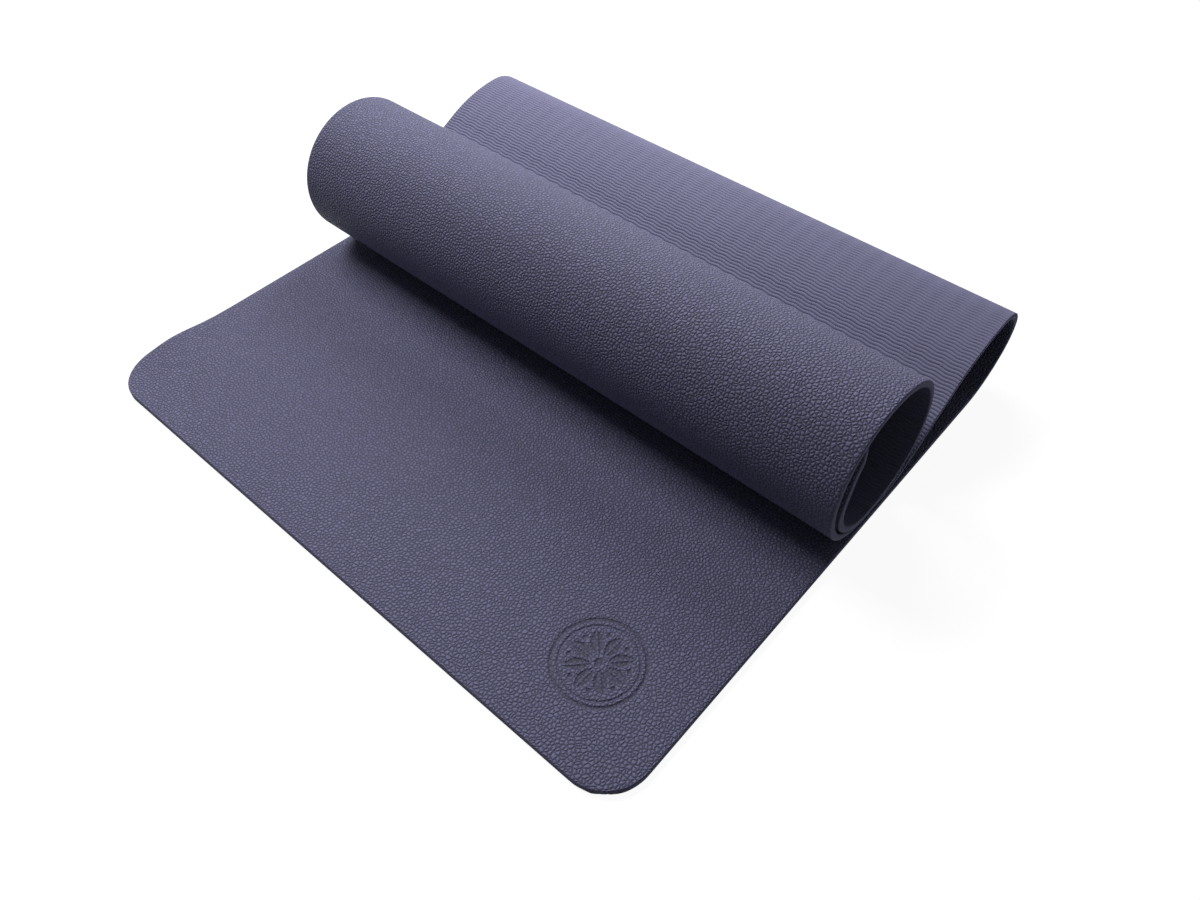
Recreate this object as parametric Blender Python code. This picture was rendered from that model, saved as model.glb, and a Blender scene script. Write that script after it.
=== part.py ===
"""A two-layer foam yoga mat, half unrolled: a flat apron, a roll and a fold behind it.

The mat is one long sheet of two bonded foam layers. Seen from its side (Y along the floor, Z up) the sheet
starts at the front edge, runs flat to the rear, curls up and forwards in an open fold, lands on itself and
winds up into the roll. Every solid here is a stretch of one layer, laid along that path.

Metres, +Z up, X along the roll. The origin lies on the floor below the roll's axis, at half the width.
"""

import math
from dataclasses import dataclass

import bmesh
import bpy

# The sheet.
WIDTH = 0.61
THICKNESS = 0.006
CORNER_RADIUS = 0.038
REST_GAP = 0.0003  # between two turns that lie on each other
BOND_GAP = 0.0003  # between the two layers
CUT_GAP = 0.0003  # between two stretches of one layer

# The roll. Its outer face is round, and a little flatter where it lies on the floor stretch.
ROLL_RADIUS = 0.070
ROLL_SETBACK = 0.316  # from the front edge to the roll's axis
FOOT_INSET = 0.007  # how much tighter the foot bends than the sheet round the roll
FOOT_TURN = math.radians(38)  # how far the sheet has turned up at the end of its foot

# The second, inner turn of the roll and its free end.
INNER_CORNER_INSET = 0.010  # how much tighter the corner bends than the roll's inner face
INNER_CORNER_TURN = math.radians(100)
INNER_WALL_GAP = 0.0055  # between the inner turn and the front wall
TIP_RADIUS = 0.042
TIP_REST_LENGTH = 0.014

# The fold behind the roll.
FOLD_DISTANCE = 0.1046  # from the roll's back to where the sheet leaves the floor
FOLD_HEIGHT = 0.090
FOLD_LOWER_RADIUS = 0.060
FOLD_LOWER_TURN = math.radians(50)
CREST_RADIUS = 0.150
CREST_TURN = math.radians(26)
SHOULDER_RADIUS = 0.040
SHOULDER_TURN = math.radians(23)
LANDING_RADIUS = 0.040
LEAF_CLEARANCE = 0.009  # between the roll's back and the leaf that slopes down behind it

# The apron's strips, which curl up one after the other.
APRON_FRONT_LENGTH = 0.050
APRON_MIDDLE_LENGTH = 0.045
APRON_REAR_LENGTH = 0.045

# How finely arcs and the sheet's round corners are cut into facets.
FACET_TURN = math.radians(4)
CORNER_FACETS = 9
SMOOTH_ANGLE = math.radians(30)

HALF_TURN = math.radians(180)
QUARTER_TURN = math.radians(90)

SLATE_PURPLE = (0.143, 0.141, 0.240, 1.0)
SLATE_PURPLE_RIBBED = (0.146, 0.144, 0.236, 1.0)
GRAIN_ROUGHNESS = 0.62
RIBBED_ROUGHNESS = 0.72


@dataclass
class Stretch:
    """A straight or evenly bent stretch of the sheet's centre line. A left turn is positive."""

    start: float
    length: float
    turn: float
    y: float
    z: float
    heading: float

    def place(self, along):
        """Where the centre line is, and which way it heads, at a distance along the whole path."""
        run = along - self.start
        if self.turn == 0:
            y = self.y + run * math.cos(self.heading)
            z = self.z + run * math.sin(self.heading)
            return y, z, self.heading
        radius = self.length / self.turn
        heading = self.heading + run / radius
        y = self.y + radius * (math.sin(heading) - math.sin(self.heading))
        z = self.z - radius * (math.cos(heading) - math.cos(self.heading))
        return y, z, heading


class SheetPath:
    """The centre line of the sheet, drawn stretch by stretch from the front edge to the free inner end."""

    def __init__(self, y, z):
        self.y = y
        self.z = z
        self.heading = 0.0
        self.length = 0.0
        self.stretches = []
        self.marks = {}

    def _add(self, length, turn):
        stretch = Stretch(self.length, length, turn, self.y, self.z, self.heading)
        self.stretches.append(stretch)
        self.length += length
        self.y, self.z, self.heading = stretch.place(self.length)

    def straight(self, length):
        """Goes straight on."""
        self._add(length, 0.0)

    def bend(self, radius, turn):
        """Bends on a radius of the centre line, to the left if turn is positive."""
        self._add(radius * abs(turn), turn)

    def mark(self, name):
        """Names the place that has been reached."""
        self.marks[name] = self.length

    def place(self, along):
        """Where the centre line is, and which way it heads, at a distance along it."""
        for stretch in self.stretches:
            if along <= stretch.start + stretch.length:
                return stretch.place(along)
        return self.stretches[-1].place(along)

    def point(self, along, side):
        """The (y, z) at a distance along the path and a distance to the left of its centre line."""
        y, z, heading = self.place(along)
        return y - side * math.sin(heading), z + side * math.cos(heading)


def draw_floor_and_fold(path, roll_back):
    """The flat floor stretch with the apron's cuts, then the fold's lower and upper bends."""
    path.straight(APRON_FRONT_LENGTH)
    path.mark("apron_front_end")
    path.straight(APRON_MIDDLE_LENGTH)
    path.mark("apron_middle_end")
    path.straight(APRON_REAR_LENGTH)
    path.mark("apron_end")
    path.straight(roll_back + FOLD_DISTANCE - path.y)
    path.bend(FOLD_LOWER_RADIUS, FOLD_LOWER_TURN)
    path.mark("lower_bend_end")
    upper_turn = HALF_TURN - FOLD_LOWER_TURN
    rise = FOLD_HEIGHT - THICKNESS / 2 - path.z
    upper_radius = rise / (1 + math.cos(FOLD_LOWER_TURN))
    path.bend(upper_radius, upper_turn / 2)
    path.mark("back_bend_end")
    path.bend(upper_radius, upper_turn / 2)
    path.mark("top_bend_end")


def draw_leaf(path, back_axis, back_face_radius, landing_height):
    """The leaf that slopes from the fold's top down behind the roll and lands on the floor stretch."""
    path.bend(CREST_RADIUS, CREST_TURN)
    slope = path.heading + SHOULDER_TURN
    shoulder_y = path.y + SHOULDER_RADIUS * (math.sin(slope) - math.sin(path.heading))
    shoulder_z = path.z - SHOULDER_RADIUS * (math.cos(slope) - math.cos(path.heading))
    behind, above = shoulder_y - back_axis[0], shoulder_z - back_axis[1]
    slope_distance = above * math.cos(slope) - behind * math.sin(slope)
    wanted_distance = back_face_radius + LEAF_CLEARANCE + THICKNESS / 2
    path.straight((slope_distance - wanted_distance) / math.sin(SHOULDER_TURN))
    path.bend(SHOULDER_RADIUS, SHOULDER_TURN)
    descent = slope - HALF_TURN
    landing_drop = LANDING_RADIUS * (1 - math.cos(descent))
    path.straight((path.z - landing_height - landing_drop) / math.sin(descent))
    path.bend(LANDING_RADIUS, -descent)


def draw_outer_turn(path, axis_y, centre_radius):
    """The stretch below the roll, its foot and front wall, and the round outer turn to the back."""
    foot_radius = centre_radius - FOOT_INSET
    flattening = (centre_radius - foot_radius) * math.tan(FOOT_TURN / 2)
    path.straight(path.y - (axis_y - flattening))
    path.bend(foot_radius, -FOOT_TURN)
    path.mark("foot_end")
    path.straight(flattening)
    path.bend(centre_radius, QUARTER_TURN - path.heading)
    path.mark("front_end")
    path.bend(centre_radius, -HALF_TURN)


def draw_inner_turn(path, axis, bed_height, wall_face_radius):
    """The second turn: down the back, along the bed, up inside the front wall, and the free end."""
    path.bend(axis[1] - bed_height, -QUARTER_TURN)
    corner_radius = wall_face_radius - INNER_CORNER_INSET
    corner_below = axis[1] - bed_height - corner_radius
    wall_reach = math.sqrt(wall_face_radius**2 - corner_below**2)
    corner_y = axis[0] - wall_reach + INNER_WALL_GAP + THICKNESS / 2 + corner_radius
    path.straight(path.y - corner_y)
    path.mark("bed_end")
    path.bend(corner_radius, -INNER_CORNER_TURN)
    tip_face = TIP_RADIUS + THICKNESS / 2
    roll_face = wall_face_radius - REST_GAP
    forward = (math.cos(path.heading), math.sin(path.heading))
    centre = (path.y + TIP_RADIUS * forward[1] - axis[0], path.z - TIP_RADIUS * forward[0] - axis[1])
    run = centre[0] * forward[0] + centre[1] * forward[1]
    aside = centre[0] * forward[1] - centre[1] * forward[0]
    climb = math.sqrt((roll_face - tip_face) ** 2 - aside**2)
    path.straight(climb - run)
    path.mark("inner_wall_end")
    path.bend(TIP_RADIUS, math.atan2(climb, aside) - HALF_TURN)
    path.bend(roll_face - THICKNESS / 2, -TIP_REST_LENGTH / (roll_face - THICKNESS / 2))
    path.mark("free_end")


def draw_sheet():
    """The whole path, from the front edge to the free end."""
    turn_pitch = THICKNESS + REST_GAP
    centre_radius = ROLL_RADIUS - THICKNESS / 2
    axis = (0.0, turn_pitch + ROLL_RADIUS)
    landing_height = THICKNESS / 2 + turn_pitch
    bed_height = landing_height + turn_pitch
    back_radius = axis[1] - bed_height
    back_axis = (centre_radius - back_radius, axis[1])
    path = SheetPath(-ROLL_SETBACK, THICKNESS / 2)
    draw_floor_and_fold(path, ROLL_RADIUS)
    draw_leaf(path, back_axis, back_radius + THICKNESS / 2, landing_height)
    draw_outer_turn(path, axis[0], centre_radius)
    draw_inner_turn(path, axis, bed_height, centre_radius - THICKNESS / 2)
    return path


@dataclass
class Section:
    """A length of the sheet that keeps its shape, and the line across the sheet on which it turns.

    The hinge line lies at a distance along the path, on one of the sheet's two faces. The base lies on the
    floor: it has no carrier and no hinge.
    """

    name: str
    begin: float
    end: float
    carrier: str = None
    hinge: float = None
    hinge_side: float = None


def cut_sections(marks):
    """The sections, each after the one that carries it."""
    grain_face = THICKNESS / 2
    ribbed_face = -THICKNESS / 2
    front, middle, rear = marks["apron_front_end"], marks["apron_middle_end"], marks["apron_end"]
    lower, back, top = marks["lower_bend_end"], marks["back_bend_end"], marks["top_bend_end"]
    foot, wall, bed = marks["foot_end"], marks["front_end"], marks["bed_end"]
    inner, free = marks["inner_wall_end"], marks["free_end"]
    return [
        Section("base", rear, lower),
        Section("apron_rear", middle, rear, "base", rear, grain_face),
        Section("apron_middle", front, middle, "apron_rear", middle, grain_face),
        Section("apron_front", 0.0, front, "apron_middle", front, grain_face),
        Section("back_bend", lower, back, "base", lower, ribbed_face),
        Section("top_bend", back, top, "back_bend", back, ribbed_face),
        Section("leaf", top, foot, "top_bend", top, ribbed_face),
        Section("roll_front", foot, wall, "leaf", foot, grain_face),
        Section("roll_shell", wall, bed, "roll_front", wall, grain_face),
        Section("inner_wall", bed, inner, "roll_shell", bed, ribbed_face),
        Section("inner_tip", inner, free, "inner_wall", inner, ribbed_face),
    ]


def cut_stations(path, begin, end):
    """The distances along the path at which a layer has a cross-section."""
    wanted = []
    for stretch in path.stretches:
        facets = max(1, math.ceil(abs(stretch.turn) / FACET_TURN))
        wanted += [stretch.start + stretch.length * step / facets for step in range(facets)]
    for step in range(CORNER_FACETS + 1):
        inset = CORNER_RADIUS * (1 - math.cos(QUARTER_TURN * step / CORNER_FACETS))
        wanted += [inset, path.length - inset]
    kept = [begin]
    for along in sorted(wanted):
        if along - kept[-1] > CUT_GAP and end - along > CUT_GAP:
            kept.append(along)
    return [*kept, end]


def half_width(path, along):
    """Half the sheet's width, which draws in at the round corners of its two ends."""
    from_end = min(along, path.length - along)
    across = CORNER_RADIUS - min(from_end, CORNER_RADIUS)
    return WIDTH / 2 - CORNER_RADIUS + math.sqrt(CORNER_RADIUS**2 - across**2)


def add_rim(mesh, path, along, faces):
    """The rim of a layer's cross-section between two faces, given as sides of the centre line."""
    half = half_width(path, along)
    low = path.point(along, faces[0])
    high = path.point(along, faces[1])
    corners = [(-half, *low), (half, *low), (half, *high), (-half, *high)]
    ring = [mesh.verts.new(corner) for corner in corners]
    return [mesh.edges.new(pair) for pair in zip(ring, ring[1:] + ring[:1])]


def build_layer(name, path, section, faces, material, hinge):
    """One layer of a section: rims at its stations, bridged one to the next and closed at both ends."""
    begin = section.begin + CUT_GAP / 2 if section.begin > 0 else 0.0
    end = section.end - CUT_GAP / 2 if section.end < path.length else path.length
    mesh = bmesh.new()
    rims = [add_rim(mesh, path, along, faces) for along in cut_stations(path, begin, end)]
    for rim, following in zip(rims, rims[1:]):
        bmesh.ops.bridge_loops(mesh, edges=rim + following)
    bmesh.ops.holes_fill(mesh, edges=rims[0] + rims[-1])
    bmesh.ops.recalc_face_normals(mesh, faces=mesh.faces)
    bmesh.ops.translate(mesh, verts=mesh.verts, vec=[-place for place in hinge])
    data = bpy.data.meshes.new(name)
    mesh.to_mesh(data)
    mesh.free()
    data.materials.append(material)
    data.shade_smooth()
    data.set_sharp_from_angle(angle=SMOOTH_ANGLE)
    layer = bpy.data.objects.new(name, data)
    bpy.context.collection.objects.link(layer)
    return layer


def add_hinge(section, hinge, carrier, carrier_hinge):
    """The empty on a section's hinge line, hung on its carrier's empty."""
    empty = bpy.data.objects.new(f"{section.name}_hinge", None)
    empty.empty_display_size = THICKNESS
    empty.parent = carrier
    empty.location = [place - below for place, below in zip(hinge, carrier_hinge)]
    bpy.context.collection.objects.link(empty)
    return empty


def foam(name, colour, roughness):
    """A matt closed-cell foam."""
    material = bpy.data.materials.new(name)
    material.use_nodes = True
    shader = material.node_tree.nodes["Principled BSDF"]
    shader.inputs["Base Color"].default_value = colour
    shader.inputs["Roughness"].default_value = roughness
    shader.inputs["Metallic"].default_value = 0.0
    material.diffuse_color = colour
    return material


def build_mat():
    """Both layers of every section, hung on the empties of the joints."""
    path = draw_sheet()
    grain_foam = foam("grain_foam", SLATE_PURPLE, GRAIN_ROUGHNESS)
    ribbed_foam = foam("ribbed_foam", SLATE_PURPLE_RIBBED, RIBBED_ROUGHNESS)
    layers = {
        "grain_layer": ((BOND_GAP / 2, THICKNESS / 2), grain_foam),
        "ribbed_layer": ((-THICKNESS / 2, -BOND_GAP / 2), ribbed_foam),
    }
    empties = {None: None}
    hinges = {None: (0.0, 0.0, 0.0)}
    for section in cut_sections(path.marks):
        hinge, empty = hinges[None], None
        if section.carrier:
            hinge = (0.0, *path.point(section.hinge, section.hinge_side))
            empty = add_hinge(section, hinge, empties[section.carrier], hinges[section.carrier])
        hinges[section.name], empties[section.name] = hinge, empty
        for layer_name, (faces, material) in layers.items():
            layer = build_layer(f"{section.name}_{layer_name}", path, section, faces, material, hinge)
            layer.parent = empty


def clear_scene():
    """Removes whatever the scene holds."""
    for thing in list(bpy.data.objects):
        bpy.data.objects.remove(thing, do_unlink=True)


clear_scene()
build_mat()
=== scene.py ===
"""The looks of a two-layer foam yoga mat that lies half unrolled, with a roll and a fold behind it.

The mat is one long sheet of two bonded layers: one face has a leather grain, the other has wavy ribs. Each
piece is a length of one layer. It is made flat, at the size it is cut to, its face is pressed, and it is then
laid along the path that the sheet takes over the floor, up through the fold and round the roll.

Metres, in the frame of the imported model: X across the sheet, Y along the floor, Z up. Flat places are given as
the distance across from the middle, the distance along from the front edge, and the height from mid-thickness.
"""

import logging
import math
from dataclasses import dataclass, field, replace
from enum import Enum

import bpy
import numpy as np
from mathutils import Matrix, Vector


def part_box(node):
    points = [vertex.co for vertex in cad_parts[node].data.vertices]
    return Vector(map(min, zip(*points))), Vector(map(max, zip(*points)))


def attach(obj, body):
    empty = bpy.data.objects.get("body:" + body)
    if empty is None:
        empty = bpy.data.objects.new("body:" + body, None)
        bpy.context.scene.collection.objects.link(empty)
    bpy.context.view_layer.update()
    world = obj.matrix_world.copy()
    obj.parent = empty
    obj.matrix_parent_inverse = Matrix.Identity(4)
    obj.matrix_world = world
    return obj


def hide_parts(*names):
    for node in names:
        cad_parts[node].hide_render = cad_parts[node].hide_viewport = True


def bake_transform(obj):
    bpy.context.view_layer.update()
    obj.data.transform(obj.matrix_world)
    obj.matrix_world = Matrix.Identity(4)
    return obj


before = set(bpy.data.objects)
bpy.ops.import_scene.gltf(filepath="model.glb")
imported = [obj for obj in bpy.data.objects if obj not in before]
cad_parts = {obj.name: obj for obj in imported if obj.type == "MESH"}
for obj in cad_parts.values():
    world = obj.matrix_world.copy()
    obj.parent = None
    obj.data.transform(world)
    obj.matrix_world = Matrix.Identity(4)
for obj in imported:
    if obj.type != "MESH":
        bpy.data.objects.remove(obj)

HALF_TURN = math.pi
QUARTER_TURN = math.pi / 2
WHITE = (1.0, 1.0, 1.0, 1.0)

Array = np.ndarray
Colour = tuple[float, float, float, float]
Socket = bpy.types.NodeSocket
Value = float | tuple | Socket
Inputs = dict[str | int, Value]

log = logging.getLogger("yoga_mat")


def smooth_share(value: Array, low: float, high: float) -> Array:
    """Rises smoothly from 0 at low to 1 at high, and falls if high is the lower one."""
    share = np.clip((value - low) / (high - low), 0.0, 1.0)
    return share * share * (3 - 2 * share)


class Side(Enum):
    """The sheet's two faces, as the side of its centre line on which they lie."""

    GRAIN = 1
    RIBBED = -1

    @property
    def word(self) -> str:
        """The word that names the face's layer, pieces and material."""
        return self.name.lower()


class Held(Enum):
    """How a length of the sheet is held."""

    LAID = "laid"
    FOLDED = "folded"


@dataclass(frozen=True)
class SheetSizes:
    """The sheet as it is cut."""

    width: float
    thickness: float
    corner_radius: float = 0.038
    turn_gap: float = 0.0003

    @property
    def turn_pitch(self) -> float:
        """How far one turn lies above the one below it."""
        return self.thickness + self.turn_gap

    def half_width(self, from_end: Array) -> Array:
        """Half the width, which draws in at the round corners, at a distance from the nearer end."""
        across = self.corner_radius - np.minimum(from_end, self.corner_radius)
        return self.width / 2 - self.corner_radius + np.sqrt(self.corner_radius**2 - across**2)


@dataclass(frozen=True)
class RollSizes:
    """The roll's outer turn and where it lies."""

    sheet: SheetSizes
    radius: float
    setback: float

    @property
    def centre_radius(self) -> float:
        """The radius of the sheet's centre line in the outer turn."""
        return self.radius - self.sheet.thickness / 2

    @property
    def axis_height(self) -> float:
        """How high the roll's axis lies above the floor."""
        return self.sheet.turn_pitch + self.radius

    @property
    def landing_height(self) -> float:
        """The height of the centre line of the stretch below the roll."""
        return self.sheet.thickness / 2 + self.sheet.turn_pitch

    @property
    def back_radius(self) -> float:
        """The radius of the centre line at the lower back, where it comes down to the inner turn's bed."""
        return self.axis_height - (self.landing_height + self.sheet.turn_pitch)


@dataclass(frozen=True)
class Stretch:
    """A straight or evenly bent stretch of the sheet's centre line. A left turn is positive."""

    start: float
    length: float
    turn: float
    y: float
    z: float
    heading: float

    def place(self, along: Array) -> tuple[Array, Array, Array]:
        """Finds places on the stretch.

        Args:
            along: distances along the whole path.

        Returns:
            The y, the z and the heading at each distance.
        """
        run = along - self.start
        if self.turn == 0:
            heading = np.full_like(run, self.heading)
            return self.y + run * math.cos(self.heading), self.z + run * math.sin(self.heading), heading
        radius = self.length / self.turn
        heading = self.heading + run / radius
        y = self.y + radius * (np.sin(heading) - math.sin(self.heading))
        z = self.z - radius * (np.cos(heading) - math.cos(self.heading))
        return y, z, heading


class SheetPath:
    """The sheet's centre line, drawn stretch by stretch from the front edge to the free inner end."""

    def __init__(self, y: float, z: float) -> None:
        """Starts a path that heads along +Y."""
        self.y = y
        self.z = z
        self.heading = 0.0
        self.length = 0.0
        self.stretches: list[Stretch] = []
        self.marks: dict[str, float] = {}

    def go(self, length: float, turn: float = 0.0) -> None:
        """Adds a stretch, straight or with an even turn, where the path has got to."""
        stretch = Stretch(self.length, length, turn, self.y, self.z, self.heading)
        self.stretches.append(stretch)
        self.length += length
        y, z, heading = stretch.place(np.array([self.length]))
        self.y, self.z, self.heading = float(y[0]), float(z[0]), float(heading[0])

    def bend(self, radius: float, turn: float) -> None:
        """Bends on a radius of the centre line, to the left if turn is positive."""
        self.go(radius * abs(turn), turn)

    def mark(self, name: str) -> None:
        """Names the distance along to which the path has got."""
        self.marks[name] = self.length

    def place(self, along: Array) -> tuple[Array, Array, Array]:
        """Finds places on the centre line.

        Args:
            along: distances along the path.

        Returns:
            The y, the z and the heading at each distance.
        """
        starts = np.array([stretch.start for stretch in self.stretches])
        which = np.clip(np.searchsorted(starts, along, side="right") - 1, 0, len(starts) - 1)
        y, z, heading = np.empty_like(along), np.empty_like(along), np.empty_like(along)
        for number in np.unique(which):
            here = which == number
            y[here], z[here], heading[here] = self.stretches[number].place(along[here])
        return y, z, heading

    def point(self, along: float, side: float) -> Array:
        """The point in the plane x = 0 at a distance along and a distance to the left of the centre line."""
        y, z, heading = self.place(np.array([along]))
        return np.array([0.0, y[0] - side * math.sin(heading[0]), z[0] + side * math.cos(heading[0])])


@dataclass(frozen=True)
class MatLength:
    """A length of the sheet, cut straight across, and what carries it.

    A length on two bodies names the two distances of its turn from the first to the second.
    It stands for the nodes of all its bodies, unless it names others. It begins where the one before it ends.
    """

    name: str
    end: float
    bodies: tuple[str, ...]
    turn: tuple[float, float] | None = None
    lies_on: str = ""
    nodes: tuple[str, ...] = ()
    held: Held = Held.FOLDED
    begin: float = 0.0


@dataclass(frozen=True)
class PressedRosette:
    """A plain rosette of petals in two rings that is pressed into the grain near the front corner."""

    across: float = 0.2260
    along: float = 0.0770
    depth: float = 0.0006
    petals: int = 8
    outer_ring: float = 0.0355
    outer_ring_width: float = 0.0030
    inner_ring: float = 0.0305
    inner_ring_width: float = 0.0012
    petal_begin: float = 0.0055
    petal_end: float = 0.0270
    petal_half_width: float = 0.0050
    midrib: float = 0.0011
    bead_place: float = 0.0232
    bead_radius: float = 0.0019
    heart_radius: float = 0.0030
    softness: float = 0.0007
    grid: float = 0.00075

    @property
    def reach(self) -> float:
        """How far the pressed lines reach from the middle."""
        return self.outer_ring + self.outer_ring_width / 2 + self.softness

    def fine_places(self, middle: float) -> Array:
        """Grid lines that are close enough for the pressed lines, on both sides of a middle."""
        count = math.ceil(2 * self.reach / self.grid)
        return np.linspace(middle - self.reach, middle + self.reach, count + 1)

    def pressed(self, across: Array, along: Array) -> Array:
        """How far the face is pressed in.

        Args:
            across: places across the sheet.
            along: places along it.

        Returns:
            0 on the free face to 1 on the floor of a pressed line.
        """
        x, y = across - self.across, along - self.along
        radius, angle = np.hypot(x, y), np.arctan2(y, x)
        step = 2 * math.pi / self.petals
        to_petal = (angle + step / 2) % step - step / 2
        to_bead = angle % step - step / 2
        out, aside = radius * np.cos(to_petal), np.abs(radius * np.sin(to_petal))
        share = np.clip((out - self.petal_begin) / (self.petal_end - self.petal_begin), 0.0, 1.0)
        petal = self.petal_half_width * np.sin(math.pi * share) - aside
        bead_out, bead_aside = radius * np.cos(to_bead) - self.bead_place, radius * np.sin(to_bead)
        inside = np.max(
            [
                self.outer_ring_width / 2 - np.abs(radius - self.outer_ring),
                self.inner_ring_width / 2 - np.abs(radius - self.inner_ring),
                np.minimum(petal, aside - self.midrib / 2),
                self.bead_radius - np.hypot(bead_out, bead_aside),
                self.heart_radius - radius,
            ],
            axis=0,
        )
        return smooth_share(inside, -self.softness / 2, self.softness / 2)


@dataclass(frozen=True)
class Ribs:
    """The wavy ribs of the underside. Their grooves run across the sheet."""

    pitch: float = 0.00325
    depth: float = 0.00062
    wave_length: float = 0.0169
    wave_height: float = 0.0005
    columns_per_wave: int = 6
    row_shares: tuple[float, ...] = (0.0, 0.10, 0.20, 0.5, 0.80, 0.90)
    depth_shares: tuple[float, ...] = (1.0, 0.68, 0.12, 0.0, 0.12, 0.68)

    def wave(self, across: Array) -> Array:
        """How far along the sheet the ribs have swung at a place across it."""
        return self.wave_height * np.sin(2 * math.pi * across / self.wave_length)

    def cut_depth(self, across: Array, along: Array) -> Array:
        """How deep the grooves are at flat places."""
        phase = ((along - self.wave(across)) / self.pitch) % 1.0
        shares = [*self.row_shares, 1.0]
        return self.depth * np.interp(phase, shares, [*self.depth_shares, self.depth_shares[0]])

    def groove_near(self, along: float) -> float:
        """The distance along of the groove nearest to a place."""
        return round(along / self.pitch) * self.pitch


@dataclass(frozen=True)
class Settling:
    """How the sheet strays from the drawn path: a lifted edge, a roll that drifts and sags, soft unevenness."""

    lift: float = 0.0050
    lift_along: float = 0.064
    lift_spread_along: float = 0.032
    lift_spread_across: float = 0.055
    drift_places: tuple[tuple[float, float], ...] = (
        (0.69, 0.0), (0.74, 0.0008), (0.80, -0.0014), (0.90, -0.0018), (1.01, -0.0038),
        (1.11, -0.0024), (1.21, -0.0007), (1.27, -0.0006), (1.34, -0.0014),
    )
    drift_fade: tuple[float, float] = (-0.15, 0.25)
    sag: float = 0.017
    sag_along: tuple[float, float] = (0.83, 0.92)
    sag_across: tuple[float, float] = (-0.05, -0.33)
    unevenness: float = 0.00004
    unevenness_lengths: tuple[tuple[float, float], ...] = ((0.083, 0.117), (-0.059, 0.071), (0.137, -0.046))

    def raised(self, across: Array, along: Array, half_width: float) -> Array:
        """How far the sheet lifts off the floor at its left edge."""
        beside = np.exp(-(across + half_width) / self.lift_spread_across)
        offset = (along - self.lift_along) / self.lift_spread_along
        return self.lift * beside * np.exp(-(offset**2))

    def moved_aside(self, across: Array, along: Array) -> Array:
        """How far the right edge has drifted along X as the sheet was wound."""
        moved = np.zeros_like(along)
        for (begin, low), (end, high) in zip(self.drift_places, self.drift_places[1:]):
            moved += (high - low) * smooth_share(along, begin, end)
        return moved * smooth_share(across, *self.drift_fade)

    def sunk(self, across: Array, along: Array) -> Array:
        """The share of its height by which the roll's left end has sunk."""
        return self.sag * smooth_share(across, *self.sag_across) * smooth_share(along, *self.sag_along)

    def hollow(self, across: Array, along: Array) -> Array:
        """How far the soft face lies below its highest level."""
        waves = [np.sin(2 * math.pi * (across / a + along / b)) for a, b in self.unevenness_lengths]
        return self.unevenness * (1 + sum(waves) / len(waves)) / 2


def vertex_places(piece: bpy.types.Object) -> Array:
    """The places of a mesh object's vertices, one row each."""
    places = np.empty(len(piece.data.vertices) * 3)
    piece.data.vertices.foreach_get("co", places)
    return places.reshape(-1, 3)


def set_vertex_places(piece: bpy.types.Object, places: Array) -> None:
    """Moves a mesh object's vertices."""
    piece.data.vertices.foreach_set("co", places.ravel())
    piece.data.update()


def select_vertices(piece: bpy.types.Object, chosen: Array) -> None:
    """Selects vertices of a mesh object, and the edges between them, for the operators.

    Args:
        piece: the object, in object mode.
        chosen: whether each vertex is selected.
    """
    mesh = piece.data
    ends = np.empty(len(mesh.edges) * 2, dtype=int)
    mesh.edges.foreach_get("vertices", ends)
    mesh.vertices.foreach_set("select", chosen)
    mesh.edges.foreach_set("select", chosen[ends.reshape(-1, 2)].all(axis=1))
    mesh.polygons.foreach_set("select", np.zeros(len(mesh.polygons), dtype=bool))


def thinned(places: Array, begin: float, end: float, least: float) -> Array:
    """Sorts grid lines and drops those that lie too close together.

    Args:
        places: the grid lines that are wanted.
        begin: the first line, always kept.
        end: the last line, always kept.
        least: the least distance between two lines.

    Returns:
        The lines from begin to end.
    """
    kept = [begin]
    for place in np.sort(places):
        if place - kept[-1] >= least and end - place >= least:
            kept.append(float(place))
    return np.array([*kept, end])


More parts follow.
